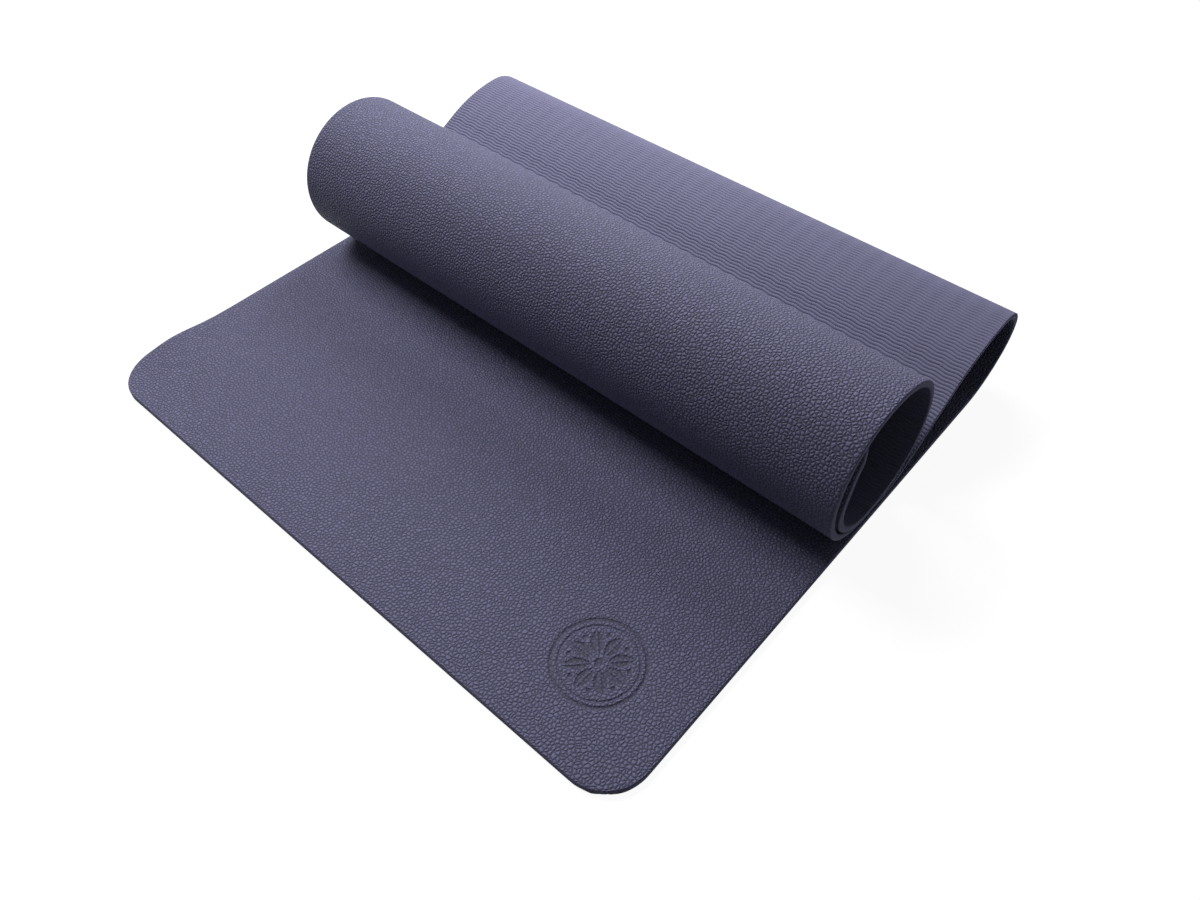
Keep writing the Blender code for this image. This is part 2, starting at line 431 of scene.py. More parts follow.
@dataclass
class FoamLayer:
    """One of the two foam layers. It cuts each of its lengths flat, presses the face and lays the length."""

    sheet: SheetSizes
    path: SheetPath
    settling: Settling
    material: bpy.types.Material
    edge_rounding: float
    back_cuts: int = 15
    rounding_shares: tuple[float, ...] = (0.0, 0.08, 0.28, 0.6, 1.0)
    corner_turns: int = 16
    least_step: float = 0.00012
    sharp_angle: float = math.radians(66)

    side = Side.GRAIN

    def columns(self, length: MatLength) -> Array:
        """The grid lines that run along the sheet, as places across it."""
        raise NotImplementedError

    def rows(self, length: MatLength) -> Array:
        """The grid lines that run across the sheet, as places along it."""
        raise NotImplementedError

    def hollow(self, across: Array, along: Array) -> Array:
        """How deep the pattern is pressed into the face."""
        raise NotImplementedError

    def swing(self, across: Array, along: Array) -> Array:
        """How far the rows swing along the sheet."""
        return np.zeros_like(along)

    def pressed(self, across: Array, along: Array) -> Array:
        """Where the face is pressed flat and smooth, from 0 to 1."""
        return np.zeros_like(across)

    def spaced_columns(self, steps: int, finer: list[float]) -> Array:
        """Even columns, those that round the two long edges over, and finer ones where they are wanted."""
        half = self.sheet.width / 2
        insets = [share * self.edge_rounding for share in self.rounding_shares]
        edges = [inset - half for inset in insets] + [half - inset for inset in insets]
        wanted = np.concatenate([np.linspace(-half, half, steps + 1), edges, finer])
        return thinned(wanted, -half, half, self.least_step)

    def end_rows(self) -> list[float]:
        """The rows that round the two short edges and the corners over."""
        insets = [share * self.edge_rounding for share in self.rounding_shares]
        for step in range(1, self.corner_turns + 1):
            turn = QUARTER_TURN * step / self.corner_turns
            insets.append(self.sheet.corner_radius * (1 - math.cos(turn)))
        return insets + [self.path.length - inset for inset in insets]

    def inset(self, across: Array, along: Array) -> tuple[Array, Array, Array]:
        """Measures how far places lie in from the sheet's outline.

        Args:
            across: places across the sheet.
            along: places along it.

        Returns:
            The distance in from the outline, and the two parts of the direction out to it.
        """
        radius = self.sheet.corner_radius
        half_length = self.path.length / 2
        from_middle = along - half_length
        x = np.abs(across) - (self.sheet.width / 2 - radius)
        y = np.abs(from_middle) - (half_length - radius)
        in_corner = (x > 0) & (y > 0)
        reach = np.hypot(np.maximum(x, 0), np.maximum(y, 0))
        distance = radius - np.where(in_corner, reach, np.maximum(x, y))
        safe = np.maximum(reach, self.least_step)
        out_x = np.where(in_corner, x / safe, (x >= y).astype(float)) * np.sign(across)
        out_y = np.where(in_corner, y / safe, (y > x).astype(float)) * np.sign(from_middle)
        return np.maximum(distance, 0.0), out_x, out_y

    def edge_drop(self, inset: Array) -> Array:
        """How far the rounded edge falls away below the face."""
        radius = self.edge_rounding
        run = radius - np.minimum(inset, radius)
        return radius - np.sqrt(radius**2 - run**2)

    def cut_flat(self, length: MatLength) -> bpy.types.Object:
        """Cuts a length of the layer as a closed flat slab with a fine face and a coarse back.

        Args:
            length: the length to cut.

        Returns:
            The slab, with its face at half the sheet's thickness.
        """
        columns, rows = self.columns(length), self.rows(length)
        bpy.ops.object.select_all(action="DESELECT")
        bpy.ops.mesh.primitive_grid_add(x_subdivisions=len(columns) - 1, y_subdivisions=len(rows) - 1, size=1.0)
        slab = bpy.context.active_object
        slab.name = slab.data.name = f"{length.name}_{self.side.word}_face"
        places = vertex_places(slab)
        column = np.rint((places[:, 0] + 0.5) * (len(columns) - 1)).astype(int)
        row = np.rint((places[:, 1] + 0.5) * (len(rows) - 1)).astype(int)
        face_height = self.side.value * self.sheet.thickness / 2
        height = np.full(len(places), face_height)
        set_vertex_places(slab, np.stack([columns[column], rows[row], height], axis=1))
        select_vertices(slab, (column == 0) | (column == len(columns) - 1))
        bpy.context.tool_settings.mesh_select_mode = (True, False, False)
        bpy.ops.object.mode_set(mode="EDIT")
        bpy.ops.mesh.extrude_edges_move(TRANSFORM_OT_translate={"value": (0.0, 0.0, -face_height)})
        bpy.ops.mesh.bridge_edge_loops(number_cuts=self.back_cuts, interpolation="LINEAR")
        bpy.ops.mesh.select_all(action="DESELECT")
        bpy.ops.mesh.select_mode(type="EDGE")
        bpy.ops.mesh.select_non_manifold(
            extend=False, use_wire=False, use_multi_face=False, use_non_contiguous=False, use_verts=False
        )
        bpy.ops.mesh.fill_holes(sides=0)
        bpy.ops.mesh.select_all(action="SELECT")
        bpy.ops.mesh.normals_make_consistent(inside=False)
        bpy.ops.object.mode_set(mode="OBJECT")
        return slab

    def press(self, slab: bpy.types.Object) -> Array:
        """Draws the corners in, presses the pattern and maps the face, all on the flat slab.

        Args:
            slab: the flat slab.

        Returns:
            The flat places of its vertices.
        """
        places = vertex_places(slab)
        row = places[:, 1]
        on_face = np.abs(places[:, 2]) > self.sheet.thickness / 4
        from_end = np.clip(np.minimum(row, self.path.length - row), 0.0, None)
        across = places[:, 0] * self.sheet.half_width(from_end) / (self.sheet.width / 2)
        along = row + self.swing(across, row)
        inset, out_x, out_y = self.inset(across, along)
        depth = np.maximum(self.edge_drop(inset), self.hollow(across, along))
        height = np.where(on_face, self.sheet.thickness / 2 - depth, 0.0)
        at_edge = inset < self.edge_rounding
        cut = np.where(on_face, 1 - inset / self.edge_rounding, at_edge.astype(float))
        self.keep_share(slab, "cut_edge", np.clip(cut, 0.0, 1.0))
        self.keep_share(slab, "pressed", self.pressed(across, along) * on_face)
        fallen = np.where(at_edge, self.sheet.thickness / 2 - height, 0.0)
        self.map_face(slab, across + out_x * fallen, along + out_y * fallen)
        return np.stack([across, along, self.side.value * height], axis=1)

    @staticmethod
    def keep_share(slab: bpy.types.Object, name: str, shares: Array) -> None:
        """Keeps a share for each vertex, which the material reads by its name."""
        attribute = slab.data.attributes.new(name, "FLOAT", "POINT")
        attribute.data.foreach_set("value", shares.astype(np.float32))

    @staticmethod
    def map_face(slab: bpy.types.Object, across: Array, along: Array) -> None:
        """Gives the slab a map in flat metres, so that its pattern follows the sheet from piece to piece."""
        mesh = slab.data
        corners = np.empty(len(mesh.loops), dtype=int)
        mesh.loops.foreach_get("vertex_index", corners)
        flat = np.stack([across[corners], along[corners]], axis=1)
        layer = mesh.uv_layers[0]
        layer.name = "flat_metres"
        layer.uv.foreach_set("vector", flat.astype(np.float32).ravel())

    def lay(self, slab: bpy.types.Object, flat: Array) -> None:
        """Lays a pressed slab along the path.

        Args:
            slab: the flat slab.
            flat: the flat places of its vertices.
        """
        across, along, height = flat.T
        y, z, heading = self.path.place(along)
        x = across + self.settling.moved_aside(across, along)
        raised = self.settling.raised(across, along, self.sheet.width / 2)
        left = 1 - self.settling.sunk(across, along)
        laid = [x, y - height * np.sin(heading), (z + height * np.cos(heading)) * left + raised]
        set_vertex_places(slab, np.stack(laid, axis=1))

    def build(self, length: MatLength) -> bpy.types.Object:
        """Makes one length of the layer, laid and with its material.

        Args:
            length: the length to make.

        Returns:
            The finished piece.
        """
        piece = self.cut_flat(length)
        self.lay(piece, self.press(piece))
        piece.data.materials.append(self.material)
        bpy.ops.object.shade_smooth_by_angle(angle=self.sharp_angle)
        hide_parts(*[f"{node}_{self.side.word}_layer" for node in length.nodes or length.bodies])
        return piece


@dataclass
class GrainLayer(FoamLayer):
    """The layer whose face has the leather grain and the pressed rosette."""

    edge_rounding: float = 0.0009
    rosette: PressedRosette = field(default_factory=PressedRosette)
    facet_turn: float = math.radians(2)
    longest_row: float = 0.006
    column_step: float = 0.006
    seam_step: float = 0.0003

    def rosette_places(self, length: MatLength, middle: float) -> list[float]:
        """The close grid lines that a length needs if the rosette reaches into it."""
        low, high = self.rosette.along - self.rosette.reach, self.rosette.along + self.rosette.reach
        return list(self.rosette.fine_places(middle)) if length.begin < high and length.end > low else []

    def columns(self, length: MatLength) -> Array:
        """The grid lines that run along the sheet, close together over the rosette."""
        steps = math.ceil(self.sheet.width / self.column_step)
        return self.spaced_columns(steps, self.rosette_places(length, self.rosette.across))

    def rows(self, length: MatLength) -> Array:
        """The grid lines that run across the sheet, close together over the rosette and in tight bends."""
        wanted = self.end_rows() + [length.begin + self.seam_step, length.end - self.seam_step]
        for stretch in self.path.stretches:
            facets = math.ceil(max(abs(stretch.turn) / self.facet_turn, stretch.length / self.longest_row))
            wanted += list(np.linspace(stretch.start, stretch.start + stretch.length, facets + 1))
        wanted += self.rosette_places(length, self.rosette.along)
        return thinned(np.array(wanted), length.begin, length.end, self.least_step)

    def hollow(self, across: Array, along: Array) -> Array:
        """The rosette's depth and the soft unevenness of the face."""
        pressed = self.rosette.depth * self.rosette.pressed(across, along)
        return pressed + self.settling.hollow(across, along)

    def pressed(self, across: Array, along: Array) -> Array:
        """Where the rosette is pressed."""
        return self.rosette.pressed(across, along)


@dataclass
class RibbedLayer(FoamLayer):
    """The layer whose face has the wavy ribs. Its rows follow the ribs, so that every groove is crisp."""

    edge_rounding: float = 0.0004
    ribs: Ribs = field(default_factory=Ribs)
    swing_fade: float = 0.004

    side = Side.RIBBED

    def columns(self, length: MatLength) -> Array:
        """The grid lines that run along the sheet, enough of them for each wave of the ribs."""
        steps = math.ceil(self.sheet.width / self.ribs.wave_length * self.ribs.columns_per_wave)
        return self.spaced_columns(steps, [])

    def rows(self, length: MatLength) -> Array:
        """The grid lines that run across the sheet, at the same places on every rib.

        The layer is cut along the groove nearest to each end of the length, but for the sheet's own ends.
        """
        at_end = length.end >= self.path.length
        begin = self.ribs.groove_near(length.begin) if length.begin > 0 else 0.0
        end = self.path.length if at_end else self.ribs.groove_near(length.end)
        pitch = self.ribs.pitch
        ribs = range(math.floor(begin / pitch), math.ceil(end / pitch))
        wanted = [(rib + share) * pitch for rib in ribs for share in self.ribs.row_shares]
        near_end = self.sheet.corner_radius / 4
        wanted += [row for row in self.end_rows() if min(row, self.path.length - row) < near_end]
        return thinned(np.array(wanted), begin, end, self.least_step)

    def inner_share(self, along: Array) -> Array:
        """How much of the ribs there is, which falls to nothing at the sheet's two ends."""
        return smooth_share(np.minimum(along, self.path.length - along), 0.0, self.swing_fade)

    def swing(self, across: Array, along: Array) -> Array:
        """How far the rows swing with the ribs."""
        return self.ribs.wave(across) * self.inner_share(along)

    def hollow(self, across: Array, along: Array) -> Array:
        """The depth of the grooves."""
        return self.ribs.cut_depth(across, along) * self.inner_share(along)


@dataclass
class SheetPart:
    """A part of the sheet, which draws its stretches of the path and is then cut into lengths."""

    roll: RollSizes

    def draw(self, path: SheetPath) -> None:
        """Draws the part's stretches and marks the places where it turns.

        Args:
            path: the path, drawn up to where the part begins.
        """
        raise NotImplementedError

    def lengths(self, marks: dict[str, float]) -> list[MatLength]:
        """Cuts the part into lengths.

        Args:
            marks: the named distances along the finished path.

        Returns:
            The lengths in order, each without its beginning.
        """
        raise NotImplementedError


@dataclass
class Apron(SheetPart):
    """The flat front of the sheet, in three strips one after the other, each on its own body."""

    front_strip: float = 0.050
    middle_strip: float = 0.045
    rear_strip: float = 0.045
    turn_behind: float = 0.010
    cut_behind: float = 0.060

    def draw(self, path: SheetPath) -> None:
        """Draws the strips."""
        strips = {"front": self.front_strip, "middle": self.middle_strip, "rear": self.rear_strip}
        for name, strip in strips.items():
            path.go(strip)
            path.mark(name)
        path.marks["apron_cut"] = path.length + self.cut_behind

    def lengths(self, marks: dict[str, float]) -> list[MatLength]:
        """The lengths that reach from strip to strip."""
        front, middle, rear = marks["front"], marks["middle"], marks["rear"]
        first_cut = front + self.middle_strip / 2
        second_cut = middle + self.rear_strip / 2
        return [
            MatLength(
                "front_strip", first_cut, ("apron_front", "apron_middle"),
                turn=(2 * front - first_cut, first_cut), nodes=("apron_front",), held=Held.LAID,
            ),
            MatLength(
                "middle_strip", second_cut, ("apron_middle", "apron_rear"),
                turn=(first_cut, second_cut), nodes=("apron_middle",), held=Held.LAID,
            ),
            MatLength(
                "rear_strip", marks["apron_cut"], ("apron_rear", "base"),
                turn=(second_cut, rear + self.turn_behind), nodes=("apron_rear",), held=Held.LAID,
            ),
        ]


@dataclass
class FloorStretch(SheetPart):
    """The stretch that lies on the floor between the apron and the fold."""

    fold_distance: float = 0.1046
    cut_before_fold: float = 0.040

    def draw(self, path: SheetPath) -> None:
        """Draws the stretch up to where the sheet leaves the floor."""
        path.go(self.roll.radius + self.fold_distance - path.y)
        path.mark("floor")

    def lengths(self, marks: dict[str, float]) -> list[MatLength]:
        """The two halves of the stretch."""
        end = marks["floor"] - self.cut_before_fold
        middle = (marks["apron_cut"] + end) / 2
        return [
            MatLength("floor_front", middle, ("base",), held=Held.LAID),
            MatLength("floor_rear", end, ("base",), held=Held.LAID),
        ]


@dataclass
class Fold(SheetPart):
    """The fold behind the roll, from the floor up over its crest and down the leaf behind the roll."""

    height: float = 0.090
    lower_radius: float = 0.060
    lower_turn: float = math.radians(50)
    crest_radius: float = 0.150
    crest_turn: float = math.radians(26)
    shoulder_radius: float = 0.040
    shoulder_turn: float = math.radians(23)
    landing_radius: float = 0.040
    leaf_clearance: float = 0.009
    leaf_cut: float = 0.070

    def draw(self, path: SheetPath) -> None:
        """Draws the fold's bends and the leaf."""
        path.bend(self.lower_radius, self.lower_turn)
        path.mark("lower")
        rise = self.height - self.roll.sheet.thickness / 2 - path.z
        upper_radius = rise / (1 + math.cos(self.lower_turn))
        upper_turn = HALF_TURN - self.lower_turn
        for name in ("back", "top"):
            path.bend(upper_radius, upper_turn / 2)
            path.mark(name)
        self.draw_leaf(path)

    def draw_leaf(self, path: SheetPath) -> None:
        """Draws the leaf from the fold's top to where it lands on the floor stretch."""
        path.bend(self.crest_radius, self.crest_turn)
        slope = path.heading + self.shoulder_turn
        shoulder_y = path.y + self.shoulder_radius * (math.sin(slope) - math.sin(path.heading))
        shoulder_z = path.z - self.shoulder_radius * (math.cos(slope) - math.cos(path.heading))
        behind = shoulder_y - (self.roll.centre_radius - self.roll.back_radius)
        above = shoulder_z - self.roll.axis_height
        slope_distance = above * math.cos(slope) - behind * math.sin(slope)
        wanted_distance = self.roll.back_radius + self.roll.sheet.thickness + self.leaf_clearance
        path.go((slope_distance - wanted_distance) / math.sin(self.shoulder_turn))
        path.bend(self.shoulder_radius, self.shoulder_turn)
        descent = slope - HALF_TURN
        landing_drop = self.landing_radius * (1 - math.cos(descent))
        path.go((path.z - self.roll.landing_height - landing_drop) / math.sin(descent))
        path.bend(self.landing_radius, -descent)

    def lengths(self, marks: dict[str, float]) -> list[MatLength]:
        """The lengths that bend at the fold's three hinge lines."""
        lower, back, top = marks["lower"], marks["back"], marks["top"]
        half = (back - lower) / 2
        foot_turn = (lower - half, lower + half)
        back_turn = (lower + half, back + half)
        crest_turn = (back + half, top + half)
        return [
            MatLength("fold_foot", lower + half, ("base", "back_bend"), turn=foot_turn),
            MatLength("fold_back", back + half, ("back_bend", "top_bend"), turn=back_turn),
            MatLength("fold_crest", top + self.leaf_cut, ("top_bend", "leaf"), turn=crest_turn),
        ]


@dataclass
class OuterTurn(SheetPart):
    """The foot below the roll, its front wall and the round outer turn."""

    foot_inset: float = 0.007
    foot_turn: float = math.radians(38)
    foot_reach: float = 0.059
    foot_swing: float = 0.017
    crown_reach: float = 0.064
    back_reach: float = 0.049

    def draw(self, path: SheetPath) -> None:
        """Draws the turn up to the roll's back."""
        foot_radius = self.roll.centre_radius - self.foot_inset
        flattening = (self.roll.centre_radius - foot_radius) * math.tan(self.foot_turn / 2)
        path.go(path.y + flattening)
        path.bend(foot_radius, -self.foot_turn)
        path.mark("foot")
        path.go(flattening)
        path.bend(self.roll.centre_radius, QUARTER_TURN - path.heading)
        path.mark("roll_front")
        path.bend(self.roll.centre_radius, -HALF_TURN)

    def lengths(self, marks: dict[str, float]) -> list[MatLength]:
        """The leaf's lower length and those round the roll, up to the inner turn's bed."""
        foot, front = marks["foot"], marks["roll_front"]
        foot_cut = foot - self.foot_reach
        foot_turn = (foot - self.foot_swing, foot + self.foot_swing)
        wall_cut = (foot + front) / 2
        wall_turn = (wall_cut, 2 * front - wall_cut)
        crown_cut = front + self.crown_reach
        bed_cut = marks["bed"] - self.back_reach
        floor, shell = "floor_front_grain_face", ("roll_shell",)
        return [
            MatLength("leaf", foot_cut, ("leaf",), lies_on=floor),
            MatLength("roll_foot", wall_cut, ("leaf", "roll_front"), turn=foot_turn, lies_on=floor),
            MatLength("roll_wall", crown_cut, ("roll_front", "roll_shell"), turn=wall_turn),
            MatLength("roll_crown", (crown_cut + bed_cut) / 2, shell),
            MatLength("roll_back", bed_cut, shell, lies_on="leaf_ribbed_face"),
        ]


@dataclass
class InnerTurn(SheetPart):
    """The second turn inside the roll: its bed, the wall inside the front and the free end."""

    corner_inset: float = 0.010
    corner_turn: float = math.radians(100)
    wall_gap: float = 0.0055
    tip_radius: float = 0.042
    tip_rest: float = 0.014
    swing_before_corner: float = 0.008
    tip_swing: float = 0.020

    def draw(self, path: SheetPath) -> None:
        """Draws the turn from the roll's back to the free end."""
        path.bend(self.roll.back_radius, -QUARTER_TURN)
        half_thickness = self.roll.sheet.thickness / 2
        inner_face = self.roll.centre_radius - half_thickness
        corner_radius = inner_face - self.corner_inset
        corner_below = self.roll.back_radius - corner_radius
        wall_reach = math.sqrt(inner_face**2 - corner_below**2)
        path.go(path.y + wall_reach - self.wall_gap - half_thickness - corner_radius)
        path.mark("bed")
        path.bend(corner_radius, -self.corner_turn)
        self.draw_free_end(path, inner_face - self.roll.sheet.turn_gap, half_thickness)

    def draw_free_end(self, path: SheetPath, roll_face: float, half_thickness: float) -> None:
        """Draws the wall straight on and the tip, which curls in and rests against the roll.

        Args:
            path: the path, drawn up to the end of the corner.
            roll_face: the radius at which the tip's outer face rests.
            half_thickness: how far the tip's faces lie from its centre line.
        """
        tip_face = self.tip_radius + half_thickness
        ahead, up = math.cos(path.heading), math.sin(path.heading)
        centre_y = path.y + self.tip_radius * up
        centre_z = path.z - self.tip_radius * ahead - self.roll.axis_height
        run = centre_y * ahead + centre_z * up
        aside = centre_y * up - centre_z * ahead
        climb = math.sqrt((roll_face - tip_face) ** 2 - aside**2)
        path.go(climb - run)
        path.mark("wall")
        path.bend(self.tip_radius, math.atan2(climb, aside) - HALF_TURN)
        rest_radius = roll_face - half_thickness
        path.bend(rest_radius, -self.tip_rest / rest_radius)
        path.mark("free")

    def lengths(self, marks: dict[str, float]) -> list[MatLength]:
        """The two lengths that bend at the inner turn's hinge lines."""
        bed, wall = marks["bed"], marks["wall"]
        cut = (bed + wall) / 2
        return [
            MatLength(
                "inner_corner", cut, ("roll_shell", "inner_wall"),
                turn=(bed - self.swing_before_corner, cut), lies_on="roll_foot_ribbed_face",
            ),
            MatLength(
                "free_end", marks["free"], ("inner_wall", "inner_tip"),
                turn=(wall - self.tip_swing, wall + self.tip_swing), lies_on="roll_crown_ribbed_face",
            ),
        ]


class Wiring:
    """A node tree that is wired up one node at a time."""

    def __init__(self, tree: bpy.types.NodeTree) -> None:
        """Takes an empty tree."""
        self.tree = tree

    def node(self, kind: str, inputs: Inputs | None = None, **settings: object) -> bpy.types.Node:
        """Adds a node.

        Args:
            kind: the node's type.
            inputs: a number or a socket for each input, by name or place.
            settings: the node's own settings.

        Returns:
            The new node.
        """
        node = self.tree.nodes.new(kind)
        for name, value in settings.items():
            setattr(node, name, value)
        for name, value in (inputs or {}).items():
            self.feed(node.inputs[name], value)
        return node

    def feed(self, socket: Socket, value: Value) -> None:
        """Links a socket to another one, or sets its own value."""
        if isinstance(value, Socket):
            self.tree.links.new(value, socket)
        else:
            socket.default_value = value

    def sum(self, operation: str, *values: Value, clamp: bool = False) -> Socket:
        """The result of a Math node."""
        inputs = dict(enumerate(values))
        return self.node("ShaderNodeMath", inputs, operation=operation, use_clamp=clamp).outputs[0]

    def ranged(self, value: Value, begin: float, end: float, low: float = 0.0, high: float = 1.0) -> Socket:
        """Goes smoothly from low to high as a value goes from begin to end."""
        inputs = {"Value": value, "From Min": begin, "From Max": end, "To Min": low, "To Max": high}
        return self.node("ShaderNodeMapRange", inputs, interpolation_type="SMOOTHSTEP").outputs["Result"]

    def scaled(self, vector: Value, factor: Value) -> Socket:
        """A vector or a colour times a number."""
        inputs = {0: vector, "Scale": factor}
        return self.node("ShaderNodeVectorMath", inputs, operation="SCALE").outputs["Vector"]

    def noise(self, vector: Value, scale: Value, detail: float = 2.0) -> bpy.types.Node:
        """A noise texture on the flat map."""
        inputs = {"Vector": vector, "Scale": scale, "Detail": detail}
        return self.node("ShaderNodeTexNoise", inputs, noise_dimensions="2D")


class EffectGroup:
    """A shader node group with named inputs and outputs, built once and placed in several materials."""

    name = "effect"
    takes: dict[str, str] = {}
    gives: dict[str, str] = {}

    def __init__(self) -> None:
        """Builds the group's tree."""
        self.tree = bpy.data.node_groups.new(self.name, "ShaderNodeTree")
        for way, sockets in (("INPUT", self.takes), ("OUTPUT", self.gives)):
            for name, kind in sockets.items():
                self.tree.interface.new_socket(name, in_out=way, socket_type=f"NodeSocket{kind}")
        wiring = Wiring(self.tree)
        entrance = wiring.node("NodeGroupInput")
        wiring.node("NodeGroupOutput", self.wire(wiring, entrance.outputs))

    def wire(self, wiring: Wiring, given: bpy.types.NodeOutputs) -> dict[str, Socket]:
        """Wires the inside of the group.

        Args:
            wiring: the group's tree.
            given: the group's inputs.

        Returns:
            A socket for each output.
        """
        raise NotImplementedError

    def place(self, wiring: Wiring, **values: Value) -> bpy.types.NodeOutputs:
        """Places the group in a material, and returns its outputs.

        Args:
            wiring: the material's tree.
            values: a value for each input, whose name has _ for each space.

        Returns:
            The outputs of the group's node.
        """
        inputs = {name.replace("_", " "): value for name, value in values.items()}
        return wiring.node("ShaderNodeGroup", inputs, node_tree=self.tree).outputs


class LeatherGrain(EffectGroup):
    """Rounded pebbles with fine creases between them."""

    name = "leather_grain"
    takes = {"Place": "Vector", "Pebble": "Float", "Depth": "Float"}
    gives = {"Height": "Float", "Crease": "Float"}
    wobble_scale = 0.9
    warp = 0.55
    randomness = 0.9
    crease_width = 0.24
    dome_width = 0.42
    patch_scale = 0.16
    patch_levels = (0.3, 0.7)
    patch_depths = (0.94, 1.04)

    def wire(self, wiring: Wiring, given: bpy.types.NodeOutputs) -> dict[str, Socket]:
        """Wires warped cells whose distance to their edge makes the domes and the creases."""
        cells = wiring.scaled(given["Place"], wiring.sum("DIVIDE", 1.0, given["Pebble"]))
        wobble = wiring.noise(cells, self.wobble_scale).outputs["Color"]
        middle = {0: wobble, 1: (0.5, 0.5, 0.5)}
        centred = wiring.node("ShaderNodeVectorMath", middle, operation="SUBTRACT").outputs[0]
        pushed = {0: cells, 1: wiring.scaled(centred, self.warp)}
        warped = wiring.node("ShaderNodeVectorMath", pushed, operation="ADD").outputs[0]
        edge = wiring.node(
            "ShaderNodeTexVoronoi", {"Vector": warped, "Scale": 1.0, "Randomness": self.randomness},
            voronoi_dimensions="2D", feature="DISTANCE_TO_EDGE",
        ).outputs["Distance"]
        # Crease is the mask of the creases between the pebbles, where the material darkens the colour with
        # painted shade
        crease = wiring.ranged(edge, 0.0, self.crease_width, 1.0, 0.0)
        dome = wiring.ranged(edge, 0.0, self.dome_width)
        patches = wiring.noise(cells, self.patch_scale, detail=1.0).outputs["Fac"]
        patched = wiring.ranged(patches, *self.patch_levels, *self.patch_depths)
        depth = wiring.sum("MULTIPLY", given["Depth"], patched)
        return {"Height": wiring.sum("MULTIPLY", dome, depth), "Crease": crease}


class CellSkin(EffectGroup):
    """The fine skin of closed-cell foam: a shallow unevenness and lighter specks."""

    name = "cell_skin"
    takes = {"Place": "Vector", "Cell": "Float", "Depth": "Float"}
    gives = {"Height": "Float", "Speck": "Float"}
    speck_levels = (0.35, 0.68)

    def wire(self, wiring: Wiring, given: bpy.types.NodeOutputs) -> dict[str, Socket]:
        """Wires one noise that gives both the height and the specks."""
        cells = wiring.scaled(given["Place"], wiring.sum("DIVIDE", 1.0, given["Cell"]))
        level = wiring.noise(cells, 1.0, detail=3.0).outputs["Fac"]
        height = wiring.sum("MULTIPLY", level, given["Depth"])
        return {"Height": height, "Speck": wiring.ranged(level, *self.speck_levels)}


class WavyGroove(EffectGroup):
    """The grooves between the wavy ribs, as a mask that follows the modelled ribs and marks where shade is
    painted.
    """

    name = "wavy_groove"
    takes = {"Place": "Vector", "Pitch": "Float", "Wave Length": "Float", "Wave Height": "Float"}
    gives = {"Groove": "Float"}
    width_share = 0.18

    def wire(self, wiring: Wiring, given: bpy.types.NodeOutputs) -> dict[str, Socket]:
        """Wires the distance to the nearest groove, in ribs."""
        apart = wiring.node("ShaderNodeSeparateXYZ", {0: given["Place"]}).outputs
        turns = wiring.sum("DIVIDE", apart["X"], given["Wave Length"])
        swung = wiring.sum("SINE", wiring.sum("MULTIPLY", turns, 2 * math.pi))
        shift = wiring.sum("MULTIPLY", swung, given["Wave Height"])
        phase = wiring.sum("DIVIDE", wiring.sum("SUBTRACT", apart["Y"], shift), given["Pitch"])
        near = wiring.sum("DIVIDE", wiring.sum("PINGPONG", phase, 0.5), self.width_share, clamp=True)
        return {"Groove": wiring.ranged(near, 0.0, 1.0, 1.0, 0.0)}


class FoamTone(EffectGroup):
    """The colour and roughness of moulded foam: soft patches, specks, painted shade in the hollows and paler cut
    edges.
    """

    name = "foam_tone"
    takes = {
        "Colour": "Color", "Place": "Vector", "Speck": "Float", "Hollow": "Float",
        "Hollow Share": "Float", "Pressed": "Float", "Cut Edge": "Float", "Roughness": "Float",
    }
    gives = {"Colour": "Color", "Roughness": "Float"}
    patch_size = 0.045
    patch_levels = (0.3, 0.7)
    patch_strength = 0.015
    speck_strength = 0.04
    pressed_share = 0.45
    edge_share = 0.1
    speck_roughness = 0.06
    pressed_roughness = -0.10
    edge_roughness = 0.12

    def wire(self, wiring: Wiring, given: bpy.types.NodeOutputs) -> dict[str, Socket]:
        """Wires one grey factor for the colour and one sum for the roughness."""
        spread, half_speck = self.patch_strength, self.speck_strength / 2
        patches = wiring.noise(given["Place"], 1 / self.patch_size, detail=3.0).outputs["Fac"]
        patched = wiring.ranged(patches, *self.patch_levels, 1 - spread, 1 + spread)
        specked = wiring.sum("MULTIPLY_ADD", given["Speck"], self.speck_strength, 1 - half_speck)
        uncut = wiring.sum("SUBTRACT", 1.0, given["Cut Edge"])
        # painted shade: the hollows' mask times its share darkens the colour, except on the cut edges
        hollow = wiring.sum("MULTIPLY", wiring.sum("MULTIPLY", given["Hollow"], given["Hollow Share"]), uncut)
        pressed = wiring.sum("MULTIPLY", given["Pressed"], self.pressed_share)
        edge = wiring.sum("MULTIPLY", given["Cut Edge"], self.edge_share)
        factor = wiring.sum("MULTIPLY", patched, specked)
        for share in (hollow, pressed):
            factor = wiring.sum("MULTIPLY", factor, wiring.sum("SUBTRACT", 1.0, share))
        factor = wiring.sum("MULTIPLY", factor, wiring.sum("ADD", 1.0, edge))
        rough = wiring.sum("MULTIPLY_ADD", given["Speck"], self.speck_roughness, given["Roughness"])
        rough = wiring.sum("MULTIPLY_ADD", given["Pressed"], self.pressed_roughness, rough)
        rough = wiring.sum("MULTIPLY_ADD", given["Cut Edge"], self.edge_roughness, rough, clamp=True)
        return {"Colour": wiring.scaled(given["Colour"], factor), "Roughness": rough}


class Effects:
    """The node groups that the materials share."""

    def __init__(self) -> None:
        """Builds each group once."""
        self.grain = LeatherGrain()
        self.skin = CellSkin()
        self.groove = WavyGroove()
        self.tone = FoamTone()


